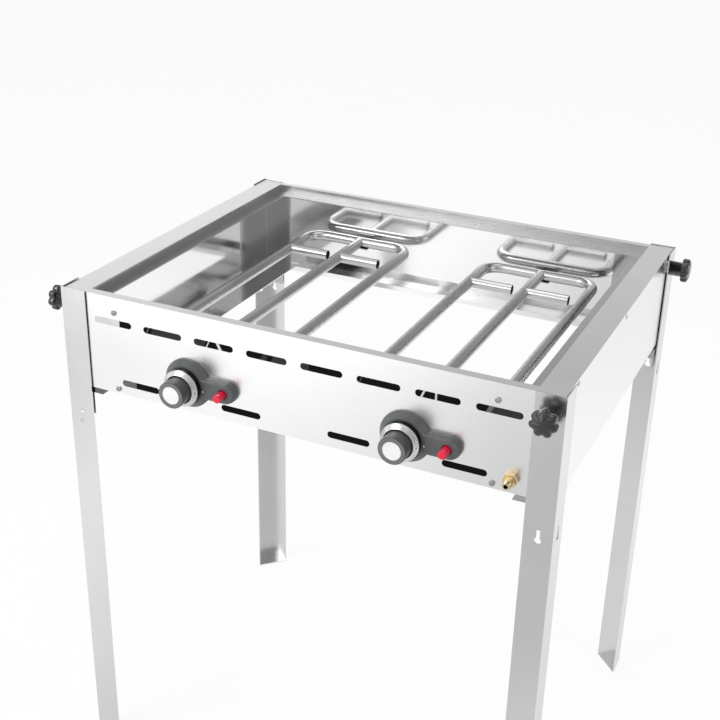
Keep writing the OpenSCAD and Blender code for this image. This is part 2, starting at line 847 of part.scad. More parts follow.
module front_rest()
    color("Gray")
        difference()
        {
            union()
            {
                for (s = [-1, 1])
                    box(s*arm_off - rest_half, s*arm_off + rest_half, face_y + rest_back,
                        face_y + rest_back + bracket_t, return_z, burner_z + tube_r + rest_rise);
                box(-arm_off - rest_half, arm_off + rest_half, face_y + rest_back,
                    face_y + rest_back + bracket_t, return_z, return_z + rest_foot/2);
                box(-arm_off - rest_half, arm_off + rest_half, face_y + rest_back,
                    face_y + rest_back + rest_foot, return_z, return_z + bracket_t);
            }
            for (s = [-1, 1])
            {
                rod_y(s*arm_off, burner_z, face_y + rest_back - over, face_y + rest_back + bracket_t + over,
                    tube_r + fit_clear);
                rod_z(s*rest_screw_off, face_y + rest_back + rest_foot/2, return_z - over,
                    return_z + bracket_t + over, screw_r);
            }
        }

module rear_rest()
    color("Gray")
        union()
        {
            box(-clip_half, clip_half, body_y - sheet - bracket_t, body_y - sheet,
                burner_z - tube_r - bracket_t, burner_z + clip_rise);
            box(-clip_half, clip_half, bar_y - tube_r, body_y - sheet,
                burner_z - tube_r - bracket_t, burner_z - tube_r);
        }

module electrode()
    color("WhiteSmoke")
        difference()
        {
            union()
            {
                rod_y(arm_off, burner_z, face_y + electrode_start + collar_lead,
                    face_y + electrode_start + collar_lead + collar_len, tube_r + collar_t);
                box(arm_off - electrode_off, arm_off, face_y + electrode_start + collar_lead,
                    face_y + electrode_start + collar_lead + collar_len,
                    burner_z - electrode_r - collar_t/2, burner_z + electrode_r + collar_t/2);
                rod_y(arm_off - electrode_off, burner_z, face_y + electrode_start,
                    face_y + electrode_start + electrode_len, electrode_r);
                rod_y(arm_off - electrode_off, burner_z, face_y + electrode_start + electrode_len,
                    face_y + electrode_start + electrode_len + electrode_pin, electrode_pin_r);
            }
            rod_y(arm_off, burner_z, face_y + electrode_start + collar_lead - over,
                face_y + electrode_start + collar_lead + collar_len + over, tube_r);
        }

// Point at share u of the lead's route, on a curve through the route's points
function lead_at(u) =
    let(n = len(lead_route) - 1, k = min(floor(u), n - 1), t = u - k,
        a = lead_route[max(k - 1, 0)], b = lead_route[k],
        c = lead_route[k + 1], d = lead_route[min(k + 2, n)])
    (2*b + (c - a)*t + (2*a - 5*b + 4*c - d)*t*t + (3*b - a - 3*c + d)*t*t*t)/2;

module lead()
{
    count = (len(lead_route) - 1)*lead_steps;
    path = [for (i = [0 : count]) lead_at(i/lead_steps) + [0, face_y, top_z]];
    rings = [for (i = [0 : count])
        let(t0 = path[min(i + 1, count)] - path[max(i - 1, 0)],
            t = (i == 0 || i == count) ? [0, 1, 0] : t0/norm(t0),
            side = cross(t, [1, 0, 0])/norm(cross(t, [1, 0, 0])),
            up = cross(side, t))
        for (j = [0 : lead_sides - 1])
            path[i] + lead_r*(cos(360*j/lead_sides)*up + sin(360*j/lead_sides)*side)];
    walls = [for (i = [0 : count - 1]) for (j = [0 : lead_sides - 1])
        let(m = (j + 1)%lead_sides)
        [i*lead_sides + j, i*lead_sides + m, (i + 1)*lead_sides + m, (i + 1)*lead_sides + j]];
    color("Black")
        polyhedron(rings, concat(
            [[for (j = [lead_sides - 1 : -1 : 0]) j]],
            walls,
            [[for (j = [0 : lead_sides - 1]) count*lead_sides + j]]
        ));
}

module bezel_left() at_unit(-1) bezel();
module bezel_right() at_unit(1) bezel();
module ring_left() at_unit(-1) ring();
module ring_right() at_unit(1) ring();
module knob_left() at_unit(-1) knob();
module knob_right() at_unit(1) knob();
module dial_left() at_unit(-1) dial();
module dial_right() at_unit(1) dial();
module spindle_left() at_unit(-1) spindle();
module spindle_right() at_unit(1) spindle();
module button_left() at_unit(-1) button();
module button_right() at_unit(1) button();
module igniter_left() at_unit(-1) igniter();
module igniter_right() at_unit(1) igniter();
module valve_left() at_unit(-1) valve();
module valve_right() at_unit(1) valve();
module injector_left() at_unit(-1) injector();
module injector_right() at_unit(1) injector();
module burner_left() at_unit(-1) burner();
module burner_right() at_unit(1) burner();
module mixer_left() at_unit(-1) mixer();
module mixer_right() at_unit(1) mixer();
module front_rest_left() at_unit(-1) front_rest();
module front_rest_right() at_unit(1) front_rest();
module rear_rest_left() at_unit(-1) rear_rest();
module rear_rest_right() at_unit(1) rear_rest();
module electrode_left() at_unit(-1) electrode();
module electrode_right() at_unit(1) electrode();
module lead_left() at_unit(-1) lead();
module lead_right() at_unit(1) lead();

// Gas line

module gas_pipe()
    color("Goldenrod")
        placed()
            difference()
            {
                rod_x(pipe_y, inlet_z, -unit_x - valve_r*2, inlet_x - elbow_half, pipe_r);
                rod_x(pipe_y, inlet_z, pipe_t - unit_x - valve_r*2, inlet_x - elbow_half + over,
                    pipe_r - pipe_t);
                for (s = [-1, 1])
                    rod_z(s*unit_x, pipe_y, inlet_z, inlet_z + pipe_r + over, pipe_r - pipe_t*3);
            }

module inlet_elbow()
    color("Goldenrod")
        placed()
            difference()
            {
                union()
                {
                    box(inlet_x - elbow_half, inlet_x + elbow_half, pipe_y - elbow_deep/2,
                        pipe_y + elbow_deep/2, inlet_z - elbow_half, inlet_z + elbow_half);
                    rod_y(inlet_x, inlet_z, face_y - inlet_nut_h - thread_out, pipe_y, inlet_r);
                    rod_y(inlet_x, inlet_z, face_y + sheet, pipe_y, shoulder_r);
                }
                rod_y(inlet_x, inlet_z, face_y - inlet_nut_h - thread_out - over, pipe_y,
                    nozzle_bore_r + pipe_t);
                rod_x(pipe_y, inlet_z, inlet_x - elbow_half - over, inlet_x, nozzle_bore_r + pipe_t);
            }

module inlet_nut()
    color("Gold")
        placed()
            difference()
            {
                hex_y(inlet_x, inlet_z, face_y - inlet_nut_h, face_y, inlet_nut_r);
                rod_y(inlet_x, inlet_z, face_y - inlet_nut_h - over, face_y + over, inlet_r);
            }

module hose_nozzle()
    color("Gold")
        placed()
            translate([inlet_x, face_y - inlet_nut_h - thread_out, inlet_z])
                difference()
                {
                    union()
                    {
                        rotate([90, 0, 0])
                            cylinder(h = nozzle_hex_l, r = nozzle_hex_r, $fn = 6);
                        rotate([90, 0, 0])
                            cylinder(h = nozzle_len - barb_count*barb_pitch, r = barb_r);
                        rotate([90, 0, 0])
                            cylinder(h = nozzle_len, r = barb_core_r);
                        for (i = [0 : barb_count - 1])
                            translate([0, i*barb_pitch - nozzle_len, 0])
                                rotate([-90, 0, 0])
                                    cylinder(h = barb_pitch*0.7, r1 = barb_core_r, r2 = barb_r);
                    }
                    translate([0, over, 0])
                        rotate([90, 0, 0])
                            cylinder(h = nozzle_len + over*2, r = nozzle_bore_r);
                }

// Fasteners

// Pan-head screw along +Y with its head's underside at y = 0
module pan_screw(grip)
    difference()
    {
        union()
        {
            rotate([90, 0, 0])
                rotate_extrude()
                    polygon([
                        [0, 0], [screw_head_r, 0], [screw_head_r, screw_head_h*0.45],
                        [screw_head_r*0.86, screw_head_h*0.8], [screw_head_r*0.6, screw_head_h],
                        [0, screw_head_h]
                    ]);
            rotate([-90, 0, 0])
                cylinder(h = grip + screw_nut_h + screw_end, r = screw_r);
            translate([0, grip, 0])
                rotate([-90, 0, 0])
                    cylinder(h = screw_nut_h, r = screw_nut_r, $fn = 6);
        }
        for (a = [45, 135])
            translate([0, screw_cross_d/2 - screw_head_h, 0])
                rotate([0, a, 0])
                    cube([screw_cross_l, screw_cross_d + fit_clear, screw_cross_w], center = true);
    }

module screws()
    color("White")
        placed()
            for (s = [-1, 1])
            {
                for (z = [top_z - screw_drop, bot_z + screw_lift])
                    translate([s*(body_x - screw_inset), face_y, z])
                        pan_screw(sheet + bracket_t);
                for (t = [-1, 1])
                    translate([s*unit_x + t*rest_screw_off, face_y + rest_back + rest_foot/2, bot_z])
                        rotate([90, 0, 0])
                            pan_screw(sheet + bracket_t);
            }

// Blind rivet along X with its outer head on the face x = 0
module rivet(grip)
{
    rod_x(0, 0, -grip - rivet_head_h, rivet_head_h/2, rivet_r);
    rod_x(0, 0, 0, rivet_head_h/2, rivet_head_r);
    rod_x(0, 0, -grip - rivet_head_h, -grip, rivet_head_r*0.8);
}

module side_rivets()
    color("White")
        placed()
            for (s = [-1, 1])
                for (i = [0 : len(rivet_places) - 1])
                    rotate([0, 0, s > 0 ? 0 : 180])
                        translate([body_x, rivet_places[i] - body_y, top_z - rivet_drop])
                            rivet(sheet + (i == 0 ? bracket_t : 0));

front_panel();
rear_panel();
left_panel();
right_panel();
corner_fl();
corner_fr();
corner_br();
corner_bl();
leg_fl();
leg_fr();
leg_br();
leg_bl();
clamp_screw_fl();
clamp_screw_fr();
clamp_screw_br();
clamp_screw_bl();
clamp_grip_fl();
clamp_grip_fr();
clamp_grip_br();
clamp_grip_bl();
bezel_left();
bezel_right();
ring_left();
ring_right();
knob_left();
knob_right();
dial_left();
dial_right();
spindle_left();
spindle_right();
button_left();
button_right();
igniter_left();
igniter_right();
valve_left();
valve_right();
injector_left();
injector_right();
burner_left();
burner_right();
mixer_left();
mixer_right();
front_rest_left();
front_rest_right();
rear_rest_left();
rear_rest_right();
electrode_left();
electrode_right();
lead_left();
lead_right();
gas_pipe();
inlet_elbow();
inlet_nut();
hose_nozzle();
screws();
side_rivets();
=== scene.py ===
"""Looks of the open gas cooking stand: materials, small details, floor, light and camera."""

import json
import math

import bmesh
import bpy
from mathutils import Matrix, Vector


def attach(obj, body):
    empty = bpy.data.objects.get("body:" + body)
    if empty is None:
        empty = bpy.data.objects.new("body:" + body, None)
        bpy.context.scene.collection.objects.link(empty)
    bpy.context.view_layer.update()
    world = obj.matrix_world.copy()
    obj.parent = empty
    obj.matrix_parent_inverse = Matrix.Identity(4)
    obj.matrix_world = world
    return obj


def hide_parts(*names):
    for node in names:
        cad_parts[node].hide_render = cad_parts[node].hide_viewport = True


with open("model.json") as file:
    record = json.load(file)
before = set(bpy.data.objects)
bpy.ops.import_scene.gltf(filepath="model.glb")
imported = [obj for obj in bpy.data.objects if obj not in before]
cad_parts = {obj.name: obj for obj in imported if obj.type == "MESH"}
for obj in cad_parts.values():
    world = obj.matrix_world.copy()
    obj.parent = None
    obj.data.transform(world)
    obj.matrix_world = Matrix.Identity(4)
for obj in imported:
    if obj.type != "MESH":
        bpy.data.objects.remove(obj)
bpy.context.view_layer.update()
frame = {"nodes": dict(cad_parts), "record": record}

nodes = frame["nodes"]
scene = bpy.context.scene

MM = 0.001
SIDES = ("left", "right")

# Places in the row frame
MIDDLE_Y = 6 * MM
FACE_Y = MIDDLE_Y - 267 * MM
SHEET = 1.2 * MM
TOP_Z = 748.5 * MM
LEDGE_Z = 735.3 * MM
CORNER_X = 342 * MM
CORNER_Y = 270 * MM
WALL_X = 338.4 * MM
WALL_Y = 266.4 * MM
CLAMP_INSET = 18.5 * MM
CLAMP_Z = 724 * MM
BEZEL_Y = FACE_Y - 11 * MM
KNOB_Z = 653 * MM
UNIT_X = 151.5 * MM
SLOT_PITCH = 75.6 * MM
SLOT_HALF = 28.5 * MM
SLOT_R = 4.5 * MM
HIGH_SLOT_Z = 713 * MM
LOW_SLOT_Z = 628.5 * MM

# Small parts of the scene itself
SLOT_MARGIN = 0.03 * MM
SLOT_ROWS = 12
PLATE_DEPTH = 0.5 * MM
GLINT_DEPTH = 0.7 * MM
GRIP_NECK = 10.5 * MM
GRIP_TIP = 27.9 * MM
GRIP_LOBES = 7
GRIP_STEPS = 84
EDGES = {
    "bezel_": (0.25 * MM, 2),
    "ring_": (0.25 * MM, 2),
    "knob_": (0.3 * MM, 2),
    "button_": (0.6 * MM, 3),
}
NUT_EDGE = 0.4 * MM
WELD_REACH = 0.002 * MM


# Floor: half its length, its glow in reflections, and how far the camera sees it as white
FLOOR_HALF = 14.0
FLOOR_GLOW = 1.13
FLOOR_WHITENESS = 0.86


# Camera


def make_camera():
    """The photograph's view, found from the frame's corners and the visible foot."""
    place = Vector((0.6412, -1.4551, 1.365))
    right = Vector((0.90323, 0.42865, 0.0208))
    up = Vector((-0.20138, 0.38054, 0.90257))
    back = Vector((0.37897, -0.81942, 0.43004))
    data = bpy.data.cameras.new("camera")
    data.sensor_width = 36.0
    data.lens = 61.89
    data.clip_start = 0.05
    data.clip_end = 60.0
    camera = bpy.data.objects.new("camera", data)
    turn = Matrix((right, up, back)).transposed()
    camera.matrix_world = Matrix.Translation(place) @ turn.to_4x4()
    scene.collection.objects.link(camera)
    scene.camera = camera


# Materials


class Finish:
    """A material round one Principled shader. Its textures use object coordinates, which are metres."""

    def __init__(self, name, colour, roughness, metallic=0.0, **sockets):
        self.material = bpy.data.materials.new(name)
        self.material.use_nodes = True
        self.tree = self.material.node_tree
        self.shader = self.tree.nodes["Principled BSDF"]
        self.normal = None
        self.shader.inputs["Base Color"].default_value = (*colour, 1.0)
        self.shader.inputs["Roughness"].default_value = roughness
        self.shader.inputs["Metallic"].default_value = metallic
        for socket, value in sockets.items():
            self.shader.inputs[socket.replace("_", " ")].default_value = value
        self.coordinates = self.node("ShaderNodeTexCoord").outputs["Object"]

    def node(self, kind, **inputs):
        made = self.tree.nodes.new(kind)
        for socket, value in inputs.items():
            self.put(made.inputs[socket.replace("_", " ")], value)
        return made

    def put(self, socket, value):
        if isinstance(value, bpy.types.NodeSocket):
            self.tree.links.new(value, socket)
        else:
            socket.default_value = value

    def noise(self, scale, stretch=(1, 1, 1), detail=3.0, rough=0.5, warp=0.0):
        """Noise with features about 1/scale metres across, drawn out by stretch."""
        mapping = self.node("ShaderNodeMapping", Vector=self.coordinates, Scale=stretch)
        made = self.node(
            "ShaderNodeTexNoise",
            Vector=mapping.outputs["Vector"],
            Scale=scale,
            Detail=detail,
            Roughness=rough,
            Distortion=warp,
        )
        return made.outputs["Fac"]

    def span(self, value, low, high, start=0.3, end=0.7):
        """value brought from start..end to low..high."""
        made = self.node("ShaderNodeMapRange", Value=value)
        made.inputs["From Min"].default_value = start
        made.inputs["From Max"].default_value = end
        made.inputs["To Min"].default_value = low
        made.inputs["To Max"].default_value = high
        return made.outputs["Result"]

    def mix(self, share, first, second):
        """Colour between first and second."""
        made = self.tree.nodes.new("ShaderNodeMix")
        made.data_type = "RGBA"
        self.put(made.inputs["Factor"], share)
        self.put(made.inputs[6], self.colour(first))
        self.put(made.inputs[7], self.colour(second))
        return made.outputs[2]

    def colour(self, value):
        return value if isinstance(value, bpy.types.NodeSocket) else (*value, 1.0)

    def math(self, operation, first, second):
        made = self.tree.nodes.new("ShaderNodeMath")
        made.operation = operation
        self.put(made.inputs[0], first)
        self.put(made.inputs[1], second)
        return made.outputs[0]

    def edges(self, radius):
        """Near 1 on sharp edges and 0 on open faces."""
        rounded = self.node("ShaderNodeBevel", Radius=radius)
        rounded.samples = 4
        plain = self.node("ShaderNodeNewGeometry").outputs["Normal"]
        likeness = self.tree.nodes.new("ShaderNodeVectorMath")
        likeness.operation = "DOT_PRODUCT"
        self.put(likeness.inputs[0], rounded.outputs["Normal"])
        self.put(likeness.inputs[1], plain)
        return self.span(likeness.outputs["Value"], 1.0, 0.0, start=0.75, end=0.99)

    def bump(self, height, distance, strength=1.0):
        made = self.node("ShaderNodeBump", Height=height, Distance=distance, Strength=strength)
        if self.normal is not None:
            self.put(made.inputs["Normal"], self.normal)
        self.normal = made.outputs["Normal"]
        self.put(self.shader.inputs["Normal"], self.normal)

    def base(self, value):
        self.put(self.shader.inputs["Base Color"], value)

    def rough(self, value):
        self.put(self.shader.inputs["Roughness"], value)


def past_walls(made, place):
    """Above 0 on the outer faces of the four walls, below 0 within them."""
    across = made.math("SUBTRACT", made.math("ABSOLUTE", place[0], 0.0), WALL_X)
    from_middle = made.math("SUBTRACT", place[1], MIDDLE_Y)
    along = made.math("SUBTRACT", made.math("ABSOLUTE", from_middle, 0.0), WALL_Y)
    return made.math("MAXIMUM", across, along)


def outside(made):
    """1 on the stand's outer faces and its stepped rim, 0 inside the frame."""
    place = made.node("ShaderNodeSeparateXYZ", Vector=made.coordinates).outputs
    above = made.math("SUBTRACT", place[2], LEDGE_Z)
    return made.math("GREATER_THAN", made.math("MAXIMUM", past_walls(made, place), above), 0.0)


def rim(made):
    """1 on the step and the ledge below the rim, where a pan would rest; the steel there is painted
    darker as shade.
    """
    place = made.node("ShaderNodeSeparateXYZ", Vector=made.coordinates).outputs
    above = made.math("SUBTRACT", place[2], LEDGE_Z)
    below = made.math("SUBTRACT", TOP_Z - 0.6 * MM, place[2])
    within = made.math("SUBTRACT", 0.0, past_walls(made, place))
    inner = made.math("MINIMUM", within, made.math("MINIMUM", above, below))
    return made.math("GREATER_THAN", inner, 0.0)


WORN_STEEL = (0.93, 0.93, 0.93)
# Darker steel painted on the rim's step and ledge as shade.
RIM_PAINTED_SHADE = (0.56, 0.56, 0.56)
STEEL_GRAIN_HEIGHT = 0.0024 * MM


def steel(name, dull, bright, roughness, spread, wave, grain=(1, 14, 14), inside=None):
    """Stainless sheet: fine rolled grain, faint smears, worn bright edges and slightly wavy faces.

    inside is the roughness within the frame, where it differs from the outer faces. Where it is given,
    the step and ledge below the rim are also painted darker as shade.
    """
    made = Finish(name, bright, roughness, metallic=1.0)
    smears = made.noise(4.5, detail=4, warp=0.6)
    lines = made.noise(70, stretch=grain, detail=3, rough=0.6)
    worn = made.edges(0.0012)
    body = made.mix(made.span(smears, 0, 1), dull, bright)
    streaked = made.mix(made.span(lines, 0, 0.10), body, tuple(0.86 * c for c in dull))
    colour = made.mix(made.math("MULTIPLY", worn, 0.5), streaked, WORN_STEEL)
    uneven = made.span(smears, roughness - spread, roughness + spread)
    if inside is not None:
        # Painted shade on the step and ledge below the rim.
        colour = made.mix(rim(made), colour, RIM_PAINTED_SHADE)
        share = outside(made)
        inner = made.span(smears, inside - 0.02, inside + 0.02)
        uneven = made.math(
            "ADD",
            made.math("MULTIPLY", uneven, share),
            made.math("MULTIPLY", inner, made.math("SUBTRACT", 1.0, share)),
        )
    made.base(colour)
    made.rough(made.math("ADD", uneven, made.span(lines, 0, 0.4 * spread)))
    made.bump(made.noise(5.5, detail=1), wave * MM, 0.8)
    made.bump(lines, STEEL_GRAIN_HEIGHT, 0.4)
    return made.material


def plastic(name, low, high, roughness, spread, grain_scale, grain_height, worn_colour, **sockets):
    """Moulded plastic: fine texture, slight shade differences and rubbed edges."""
    made = Finish(name, low, roughness, **sockets)
    cloud = made.noise(60, detail=4)
    grain = made.noise(grain_scale, detail=2)
    worn = made.edges(0.0007)
    body = made.mix(made.span(cloud, 0, 1), low, high)
    made.base(made.mix(made.math("MULTIPLY", worn, 0.45), body, worn_colour))
    made.rough(made.span(cloud, roughness - spread, roughness + spread))
    made.bump(grain, grain_height * MM, 0.5)
    return made.material


def brass_finish():
    made = Finish("brass", (0.86, 0.72, 0.46), 0.18, metallic=1.0)
    stain = made.noise(70, detail=5, warp=0.4)
    turned = made.noise(900, stretch=(1, 6, 1), detail=2)
    worn = made.edges(0.0006)
    body = made.mix(made.span(stain, 0, 1), (0.72, 0.56, 0.32), (0.92, 0.80, 0.55))
    made.base(made.mix(made.math("MULTIPLY", worn, 0.7), body, (0.95, 0.84, 0.62)))
    made.rough(made.span(stain, 0.12, 0.26))
    made.bump(turned, 0.02 * MM, 0.4)
    return made.material


def ring_finish():
    """Turned bright metal with a soft grain; the seat behind the flange is painted near black as the
    shadow under it.
    """
    made = Finish("ring_metal", (0.80, 0.81, 0.81), 0.30, metallic=0.9)
    grain = made.noise(1400, stretch=(1, 0.25, 1), detail=3)
    cloud = made.noise(120, detail=3)
    worn = made.edges(0.0005)
    body = made.mix(made.span(cloud, 0, 1), (0.60, 0.61, 0.61), (0.72, 0.73, 0.73))
    bright = made.mix(made.math("MULTIPLY", worn, 0.6), body, (0.97, 0.97, 0.97))
    # Painted shadow: the seat behind the flange is coloured near black.
    depth = made.node("ShaderNodeSeparateXYZ", Vector=made.coordinates).outputs[1]
    seat = made.math("GREATER_THAN", depth, BEZEL_Y - 8.5 * MM)
    made.base(made.mix(seat, bright, (0.020, 0.021, 0.022)))
    made.rough(made.span(grain, 0.24, 0.36))
    made.bump(grain, 0.012 * MM, 0.5)
    return made.material


def grip_finish():
    """Glossy black moulding."""
    made = Finish("grip_plastic", (0.012, 0.012, 0.013), 0.10, Coat_Weight=0.6, Coat_Roughness=0.05)
    cloud = made.noise(60, detail=4)
    scuffs = made.noise(420, stretch=(1, 1, 0.3), detail=3)
    worn = made.edges(0.0007)
    body = made.mix(made.span(cloud, 0, 1), (0.010, 0.010, 0.011), (0.018, 0.018, 0.019))
    made.base(made.mix(made.math("MULTIPLY", worn, 0.4), body, (0.06, 0.06, 0.062)))
    made.rough(made.span(scuffs, 0.07, 0.15))
    made.bump(made.noise(900, detail=2), 0.02 * MM, 0.4)
    return made.material


def knob_finish():
    """Dark moulded knob with a satin face, painted paler as light; the sides are painted darker as
    shade.
    """
    made = Finish("knob_plastic", (0.06, 0.062, 0.065), 0.40)
    # Painted light and shade: faces turned to the front get a paler copy of the colour, the sides a
    # darker one.
    facing = made.node("ShaderNodeTexCoord").outputs["Normal"]
    forward = made.node("ShaderNodeSeparateXYZ", Vector=facing).outputs[1]
    front = made.span(forward, 1.0, 0.0, start=-0.95, end=-0.8)
    cloud = made.noise(60, detail=4)
    grain = made.noise(2200, detail=2)
    worn = made.edges(0.0006)
    side = made.mix(made.span(cloud, 0, 1), (0.050, 0.052, 0.055), (0.075, 0.077, 0.080))
    face = made.mix(made.span(cloud, 0, 1), (0.135, 0.137, 0.140), (0.165, 0.167, 0.170))
    body = made.mix(front, side, face)
    made.base(made.mix(made.math("MULTIPLY", worn, 0.4), body, (0.30, 0.305, 0.31)))
    made.rough(made.span(cloud, 0.34, 0.46))
    made.bump(grain, 0.06 * MM, 0.5)
    return made.material


def make_finishes():
    return {
        "sheet_steel": steel(
            "sheet_steel", (0.85, 0.855, 0.86), (0.90, 0.90, 0.90), 0.27, 0.025,
            wave=0.12, inside=0.09,
        ),
        "leg_steel": steel(
            "leg_steel", (0.67, 0.675, 0.68), (0.75, 0.75, 0.755), 0.23, 0.03,
            grain=(14, 14, 1), wave=0.08,
        ),
        "bracket_steel": steel(
            "bracket_steel", (0.46, 0.465, 0.47), (0.54, 0.54, 0.54), 0.14, 0.03,
            grain=(1, 14, 1), wave=0.05,
        ),
        "tube_steel": steel(
            "tube_steel", (0.52, 0.518, 0.515), (0.62, 0.618, 0.615), 0.27, 0.04,
            grain=(10, 1, 10), wave=0.02,
        ),
        # Darker bracket steel: painted shade for the front left bracket.
        "bracket_painted_shade": steel(
            "bracket_painted_shade", (0.12, 0.12, 0.122), (0.17, 0.17, 0.172), 0.18, 0.03,
            grain=(1, 14, 1), wave=0.05,
        ),
        "screw_steel": steel(
            "screw_steel", (0.34, 0.34, 0.345), (0.50, 0.50, 0.505), 0.20, 0.04,
            grain=(1, 1, 1), wave=0.0,
        ),
        "grip_plastic": grip_finish(),
        "bezel_plastic": plastic(
            "bezel_plastic", (0.085, 0.090, 0.092), (0.110, 0.116, 0.118), 0.40, 0.06,
            2600, 0.05, (0.24, 0.245, 0.25),
        ),
        "knob_plastic": knob_finish(),
        "ring_metal": ring_finish(),
        "dial_plastic": plastic(
            "dial_plastic", (0.86, 0.86, 0.86), (0.92, 0.92, 0.92), 0.24, 0.05,
            1200, 0.02, (0.95, 0.95, 0.95),
        ),
        "button_plastic": plastic(
            "button_plastic", (0.72, 0.0, 0.03), (0.86, 0.004, 0.06), 0.26, 0.05,
            1400, 0.03, (0.95, 0.12, 0.24), Coat_Weight=0.3,
        ),
        "igniter_plastic": plastic(
            "igniter_plastic", (0.080, 0.085, 0.087), (0.105, 0.110, 0.112), 0.40, 0.05,
            1500, 0.04, (0.20, 0.20, 0.20),
        ),
        "brass": brass_finish(),
        "ceramic": plastic(
            "ceramic", (0.78, 0.76, 0.70), (0.86, 0.84, 0.79), 0.2, 0.05,
            1100, 0.02, (0.92, 0.91, 0.88), Coat_Weight=0.4,
        ),
        "lead_rubber": plastic(
            "lead_rubber", (0.022, 0.022, 0.023), (0.040, 0.040, 0.042), 0.55, 0.06,
            3000, 0.05, (0.07, 0.07, 0.07),
        ),
    }


def dress(finishes):
    """Every CAD node takes the finish of its slot in the record; the front left bracket gets a darker
    steel as painted shade.
    """
    for sub in frame["record"]["subparts"]:
        piece = nodes[sub["node"]]
        piece.data.materials.clear()
        piece.data.materials.append(finishes[sub["material_slot"]])
    # Painted shade: the front left bracket takes the darker steel.
    shaded_bracket_materials = nodes["corner_fl"].data.materials
    shaded_bracket_materials.clear()
    shaded_bracket_materials.append(finishes["bracket_painted_shade"])


# Edges


def soften(piece, width, segments=2):
    """Rounds the sharp edges a little, as folded, ground and moulded edges are."""
    weld = piece.modifiers.new("weld", "WELD")
    weld.merge_threshold = WELD_REACH
    bevel = piece.modifiers.new("bevel", "BEVEL")
    bevel.width = width
    bevel.segments = segments
    bevel.limit_method = "ANGLE"
    bevel.angle_limit = math.radians(32)
    bevel.harden_normals = True
    even = piece.modifiers.new("even", "WEIGHTED_NORMAL")
    even.keep_sharp = True
    even.weight = 60


def soften_all():
    for side in SIDES:
        for kind, (width, segments) in EDGES.items():
            soften(nodes[kind + side], width, segments)
    soften(nodes["inlet_nut"], NUT_EDGE)


# Floor, light and background


def white_shader(tree, strength):
    glow = tree.nodes.new("ShaderNodeEmission")
    glow.inputs["Color"].default_value = (1.0, 1.0, 1.0, 1.0)
    glow.inputs["Strength"].default_value = strength
    return glow.outputs[0]


def ramp_between(tree, value, start, end, low, high):
    """low where value is start, high where it is end, smooth in between."""
    made = tree.nodes.new("ShaderNodeMapRange")
    made.interpolation_type = "SMOOTHSTEP"
    tree.links.new(value, made.inputs["Value"])
    made.inputs["From Min"].default_value = start
    made.inputs["From Max"].default_value = end
    made.inputs["To Min"].default_value = low
    made.inputs["To Max"].default_value = high
    return made.outputs["Result"]


def combine(tree, operation, result, *others):
    """The values put together one after another by one operation."""
    for value in others:
        made = tree.nodes.new("ShaderNodeMath")
        made.operation = operation
        for socket, term in zip(made.inputs, (result, value)):
            if isinstance(term, bpy.types.NodeSocket):
                tree.links.new(term, socket)
            else:
                socket.default_value = term
        result = made.outputs[0]
    return result


def mix_shaders(tree, share, first, second):
    made = tree.nodes.new("ShaderNodeMixShader")
    tree.links.new(share, made.inputs[0])
    tree.links.new(first, made.inputs[1])
    tree.links.new(second, made.inputs[2])
    return made.outputs[0]


def floor_sheen(tree):
    """The lit floor as the steel mirrors it: bright, with a few dimmer regions that shade the faces."""
    where = tree.nodes.new("ShaderNodeTexCoord").outputs["Object"]
    place = tree.nodes.new("ShaderNodeSeparateXYZ")
    tree.links.new(where, place.inputs[0])
    x, y = place.outputs[0], place.outputs[1]
    front_right = combine(
        tree,
        "MULTIPLY",
        ramp_between(tree, x, -0.75, 0.05, 0.0, 1.0),
        ramp_between(tree, y, -0.2, -1.1, 0.0, 1.0),
        0.42,
    )
    rear_right = combine(
        tree,
        "MULTIPLY",
        ramp_between(tree, x, 0.2, 0.5, 0.0, 1.0),
        ramp_between(tree, y, 0.4, 1.9, 0.0, 0.14),
    )
    far_left = ramp_between(tree, x, -0.70, -1.20, 0.0, 0.28)
    far_front = ramp_between(tree, y, -1.7, -3.0, 0.0, 0.2)
    distance = tree.nodes.new("ShaderNodeVectorMath")
    distance.operation = "LENGTH"
    tree.links.new(where, distance.inputs[0])
    near = ramp_between(tree, distance.outputs["Value"], 0.35, 1.2, 0.22, 0.0)
    level = combine(tree, "SUBTRACT", FLOOR_GLOW, front_right, rear_right, far_left, far_front, near)
    glow = tree.nodes.new("ShaderNodeEmission")
    tree.links.new(level, glow.inputs["Strength"])
    return glow.outputs[0]


def make_floor():
    """Pale floor, drawn nearly white for the camera, with a faint shadow."""
    mesh = bpy.data.meshes.new("floor")
    form = bmesh.new()
    corners = ((-1, -1), (1, -1), (1, 1), (-1, 1))
    form.faces.new([form.verts.new((x * FLOOR_HALF, y * FLOOR_HALF, 0.0)) for x, y in corners])
    form.to_mesh(mesh)
    form.free()
    floor = bpy.data.objects.new("floor", mesh)
    scene.collection.objects.link(floor)
    material = bpy.data.materials.new("floor_paint")
    material.use_nodes = True
    tree = material.node_tree
    paint = tree.nodes["Principled BSDF"]
    paint.inputs["Base Color"].default_value = (0.82, 0.82, 0.82, 1.0)
    paint.inputs["Roughness"].default_value = 0.85
    rays = tree.nodes.new("ShaderNodeLightPath")
    seen = combine(tree, "MULTIPLY", rays.outputs["Is Camera Ray"], FLOOR_WHITENESS)
    bare = mix_shaders(tree, seen, paint.outputs[0], white_shader(tree, 1.03))
    blend = mix_shaders(tree, rays.outputs["Is Glossy Ray"], bare, floor_sheen(tree))
    tree.links.new(blend, tree.nodes["Material Output"].inputs["Surface"])
    mesh.materials.append(material)


